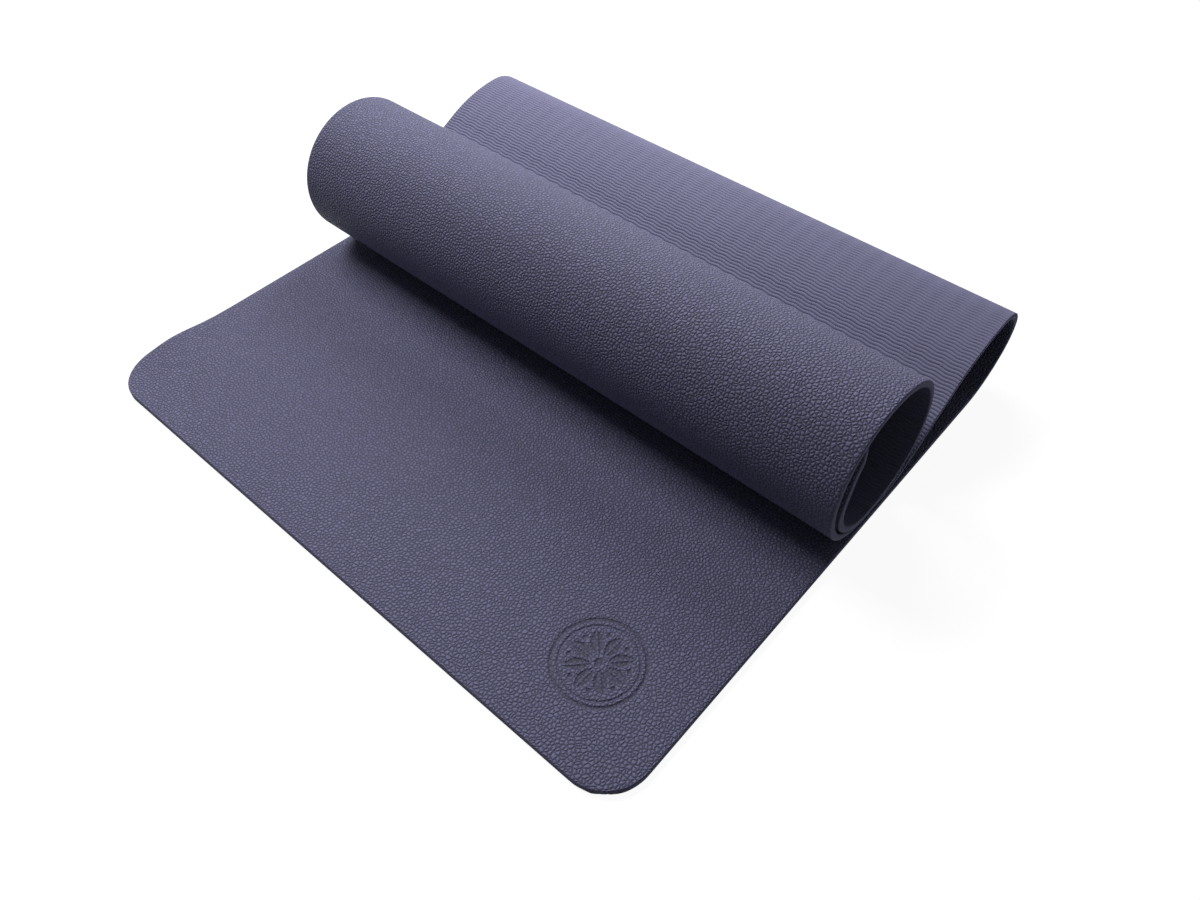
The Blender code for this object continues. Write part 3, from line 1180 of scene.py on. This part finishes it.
@dataclass(frozen=True)
class FoamFinish:
    """A matt foam finish: what the grain and the ribs have in common."""

    name: str
    colour: Colour
    roughness: float
    specular: float = 0.15
    cell: float = 0.0004
    cell_depth: float = 0.000018
    pressed_flattening: float = 0.8

    def wire_face(self, wiring: Wiring, effects: Effects, place: Value) -> tuple[Value, Value, float]:
        """Wires what sets this face apart.

        Args:
            wiring: the material's tree.
            effects: the shared groups.
            place: the flat map.

        Returns:
            The height of the pattern, the mask of its hollows where shade is painted, and how far that painted
            shade darkens them.
        """
        raise NotImplementedError

    def make(self, effects: Effects) -> bpy.types.Material:
        """Makes the material.

        Args:
            effects: the shared groups.

        Returns:
            The finished material.
        """
        material = bpy.data.materials.new(self.name)
        material.use_nodes = True
        wiring = Wiring(material.node_tree)
        place = wiring.node("ShaderNodeUVMap", uv_map="flat_metres").outputs["UV"]
        cut = wiring.node("ShaderNodeAttribute", attribute_name="cut_edge").outputs["Fac"]
        pressed = wiring.node("ShaderNodeAttribute", attribute_name="pressed").outputs["Fac"]
        skin = effects.skin.place(wiring, Place=place, Cell=self.cell, Depth=self.cell_depth)
        # the hollows' mask and the share of painted shade that darkens them
        height, hollow, painted_shade_share = self.wire_face(wiring, effects, place)
        tone = effects.tone.place(
            wiring, Colour=self.colour, Place=place, Speck=skin["Speck"], Hollow=hollow,
            Hollow_Share=painted_shade_share, Pressed=pressed, Cut_Edge=cut, Roughness=self.roughness,
        )
        flattened = wiring.sum("MULTIPLY", pressed, self.pressed_flattening)
        free = wiring.sum("SUBTRACT", 1.0, wiring.sum("MAXIMUM", cut, flattened))
        relief = wiring.sum("MULTIPLY_ADD", height, free, skin["Height"])
        bump = wiring.node("ShaderNodeBump", {"Height": relief, "Distance": 1.0, "Strength": 1.0})
        shader = material.node_tree.nodes["Principled BSDF"].inputs
        wiring.feed(shader["Base Color"], tone["Colour"])
        wiring.feed(shader["Roughness"], tone["Roughness"])
        wiring.feed(shader["Normal"], bump.outputs["Normal"])
        wiring.feed(shader["Specular IOR Level"], self.specular)
        material.diffuse_color = self.colour
        return material


@dataclass(frozen=True)
class GrainFinish(FoamFinish):
    """The leather-grained face."""

    pebble: float = 0.0031
    depth: float = 0.0006
    # how far the painted shade darkens the colour in the creases
    crease_shade_share: float = 0.62

    def wire_face(self, wiring: Wiring, effects: Effects, place: Value) -> tuple[Value, Value, float]:
        """Wires the leather grain."""
        grain = effects.grain.place(wiring, Place=place, Pebble=self.pebble, Depth=self.depth)
        return grain["Height"], grain["Crease"], self.crease_shade_share


@dataclass(frozen=True)
class RibbedFinish(FoamFinish):
    """The ribbed face, whose ribs are modelled; the mask only paints shade into their grooves."""

    ribs: Ribs = field(default_factory=Ribs)
    # how far the painted shade darkens the colour in the grooves
    groove_shade_share: float = 0.26

    def wire_face(self, wiring: Wiring, effects: Effects, place: Value) -> tuple[Value, Value, float]:
        """Wires the mask of the grooves."""
        groove = effects.groove.place(
            wiring, Place=place, Pitch=self.ribs.pitch, Wave_Length=self.ribs.wave_length,
            Wave_Height=self.ribs.wave_height,
        )
        return 0.0, groove["Groove"], self.groove_shade_share


@dataclass
class YogaMat:
    """The whole mat: its path, its two layers and the lengths that they are cut into."""

    sheet: SheetSizes
    roll: RollSizes
    effects: Effects
    settling: Settling = field(default_factory=Settling)
    ribs: Ribs = field(default_factory=Ribs)
    grain_colour: Colour = (0.143, 0.141, 0.240, 1.0)
    grain_roughness: float = 0.60
    ribbed_colour: Colour = (0.146, 0.144, 0.236, 1.0)
    ribbed_roughness: float = 0.66

    def __post_init__(self) -> None:
        """Draws the path from the front edge to the free end, and cuts the sheet along it."""
        self.path = SheetPath(-self.roll.setback, self.sheet.thickness / 2)
        parts = [part(self.roll) for part in (Apron, FloorStretch, Fold, OuterTurn, InnerTurn)]
        for part in parts:
            part.draw(self.path)
        self.lengths: list[MatLength] = []
        for part in parts:
            for length in part.lengths(self.path.marks):
                begin = self.lengths[-1].end if self.lengths else 0.0
                self.lengths.append(replace(length, begin=begin))

    def layers(self) -> list[FoamLayer]:
        """The two layers with their materials."""
        grain = GrainFinish("grain_foam", self.grain_colour, self.grain_roughness)
        ribbed = RibbedFinish("ribbed_foam", self.ribbed_colour, self.ribbed_roughness, ribs=self.ribs)
        shared = (self.sheet, self.path, self.settling)
        return [
            RibbedLayer(*shared, ribbed.make(self.effects), ribs=self.ribs),
            GrainLayer(*shared, grain.make(self.effects)),
        ]

    def chord(self, turn: tuple[float, float]) -> tuple[Array, Array]:
        """Works out the two points between which a length turns from one body to the next.

        The points lie on the straight line between the two places where the turn starts and ends, moved in so
        far that no point of either layer's cross-section there has begun to turn, or is still turning.

        Args:
            turn: the distances along at which the turn starts and ends.

        Returns:
            The start and the end point.
        """
        half = self.sheet.thickness / 2
        begin, end = (self.path.point(along, 0.0) for along in turn)
        direction = (end - begin) / np.linalg.norm(end - begin)
        swings = (-self.ribs.wave_height, 0.0, self.ribs.wave_height)
        corners = [(swing, side) for swing in swings for side in (-half, half)]
        reaches = [
            [(self.path.point(along + swing, side) - begin) @ direction for swing, side in corners]
            for along in turn
        ]
        return begin + direction * max(reaches[0]), begin + direction * min(reaches[1])

    def carry(self, piece: bpy.types.Object, length: MatLength) -> None:
        """Makes a piece ride on its body; a piece on two bodies has its chord worked out, which is not used, and
        its placement baked into its mesh.
        """
        if length.turn is None:
            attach(piece, length.bodies[0])
            return
        start, end = self.chord(length.turn)
        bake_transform(piece)

    def build(self) -> None:
        """Builds both layers of every length."""
        for layer in self.layers():
            for length in self.lengths:
                piece = layer.build(length)
                self.carry(piece, length)
                log.info("%s: %d faces on %s", piece.name, len(piece.data.polygons), "|".join(length.bodies))


@dataclass(frozen=True)
class SoftBox:
    """A large square lamp."""

    name: str
    place: tuple[float, float, float]
    size: float
    watts: float
    aim: tuple[float, float, float] = (0.0, 0.0, 0.05)

    def hang(self) -> None:
        """Hangs the lamp and turns it to what it lights."""
        bpy.ops.object.light_add(type="AREA", location=self.place)
        lamp = bpy.context.active_object
        lamp.name = self.name
        lamp.data.shape = "SQUARE"
        lamp.data.size = self.size
        lamp.data.energy = self.watts
        x, y, z = np.array(self.aim) - np.array(self.place)
        lamp.rotation_euler = (math.atan2(math.hypot(x, y), -z), 0.0, math.atan2(y, x) - QUARTER_TURN)


@dataclass
class Studio:
    """The pale floor, the lamps, the world and the camera."""

    floor_size: float = 14.0
    floor_drop: float = 0.0001
    floor_colour: Colour = (0.14, 0.14, 0.14, 1.0)
    floor_glow: float = 0.94
    sky_strength: float = 0.07
    camera_place: tuple[float, float, float] = (0.44816, -0.48651, 0.63584)
    camera_turn: tuple[float, float, float] = (40.3194, 0.2913, 41.2276)
    camera_lens: float = 28.785
    camera_film: float = 36.0
    lamps: tuple[SoftBox, ...] = (
        SoftBox("left_lamp", (-1.286, 0.0, 1.532), 0.90, 37.5),
        SoftBox("back_lamp", (-0.35, 0.70, 0.75), 0.45, 7.8),
    )

    def seen_by_camera(self, wiring: Wiring) -> Socket:
        """1 for rays from the camera, from gloss and through glass, and 0 for the rest."""
        path = wiring.node("ShaderNodeLightPath").outputs
        seen = wiring.sum("MAXIMUM", path["Is Camera Ray"], path["Is Glossy Ray"])
        return wiring.sum("MAXIMUM", seen, path["Is Transmission Ray"])

    def lay_floor(self) -> None:
        """Lays the floor, which glows a little to the camera so that it is near white with a faint shadow."""
        bpy.ops.mesh.primitive_plane_add(size=self.floor_size, location=(0.0, 0.0, -self.floor_drop))
        floor = bpy.context.active_object
        floor.name = "studio_floor"
        material = bpy.data.materials.new("studio_floor")
        material.use_nodes = True
        wiring = Wiring(material.node_tree)
        shader = material.node_tree.nodes["Principled BSDF"]
        matt = {"Base Color": self.floor_colour, "Roughness": 1.0, "Specular IOR Level": 0.0}
        for name, value in matt.items():
            wiring.feed(shader.inputs[name], value)
        glow = wiring.sum("MULTIPLY", self.seen_by_camera(wiring), self.floor_glow)
        light = wiring.node("ShaderNodeEmission", {"Strength": glow})
        both = wiring.node("ShaderNodeAddShader", {0: shader.outputs[0], 1: light.outputs[0]})
        wiring.feed(material.node_tree.nodes["Material Output"].inputs["Surface"], both.outputs[0])
        floor.data.materials.append(material)

    def light_world(self) -> None:
        """Lights the surroundings softly, and shows them white to the camera."""
        world = bpy.data.worlds.new("studio_world")
        bpy.context.scene.world = world
        world.use_nodes = True
        wiring = Wiring(world.node_tree)
        sky = world.node_tree.nodes["Background"]
        wiring.feed(sky.inputs["Color"], WHITE)
        wiring.feed(sky.inputs["Strength"], self.sky_strength)
        white = wiring.node("ShaderNodeBackground", {"Color": WHITE, "Strength": 1.0})
        shares = {0: self.seen_by_camera(wiring), 1: sky.outputs[0], 2: white.outputs[0]}
        mixed = wiring.node("ShaderNodeMixShader", shares)
        wiring.feed(world.node_tree.nodes["World Output"].inputs["Surface"], mixed.outputs[0])

    def place_camera(self) -> None:
        """Places the camera where the picture was taken from."""
        turns = [math.radians(turn) for turn in self.camera_turn]
        bpy.ops.object.camera_add(location=self.camera_place, rotation=turns)
        camera = bpy.context.active_object
        camera.name = "studio_camera"
        camera.data.sensor_width = self.camera_film
        camera.data.lens = self.camera_lens
        bpy.context.scene.camera = camera

    def set_up(self) -> None:
        """Sets the whole studio up."""
        bpy.ops.object.select_all(action="DESELECT")
        self.lay_floor()
        self.light_world()
        for lamp in self.lamps:
            lamp.hang()
        self.place_camera()
        bpy.context.scene.view_settings.view_transform = "Standard"


def measure_frame() -> tuple[SheetSizes, RollSizes]:
    """Reads the sheet's and the roll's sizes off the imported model.

    Returns:
        The sheet's sizes and the roll's.
    """
    low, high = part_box("apron_rear_grain_layer")
    sheet = SheetSizes(width=high.x - low.x, thickness=high.z)
    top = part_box("roll_shell_grain_layer")[1].z
    setback = -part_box("apron_front_grain_layer")[0].y
    return sheet, RollSizes(sheet, radius=(top - sheet.turn_pitch) / 2, setback=setback)


def main() -> None:
    """Builds the mat and the studio around it."""
    logging.basicConfig(level=logging.INFO, format="%(name)s: %(message)s")
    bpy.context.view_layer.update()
    sheet, roll = measure_frame()
    mat = YogaMat(sheet, roll, Effects())
    log.info("sheet %.4f m wide, %.4f m long, roll radius %.4f m", sheet.width, mat.path.length, roll.radius)
    mat.build()
    Studio().set_up()


if __name__ == "__main__":
    main()
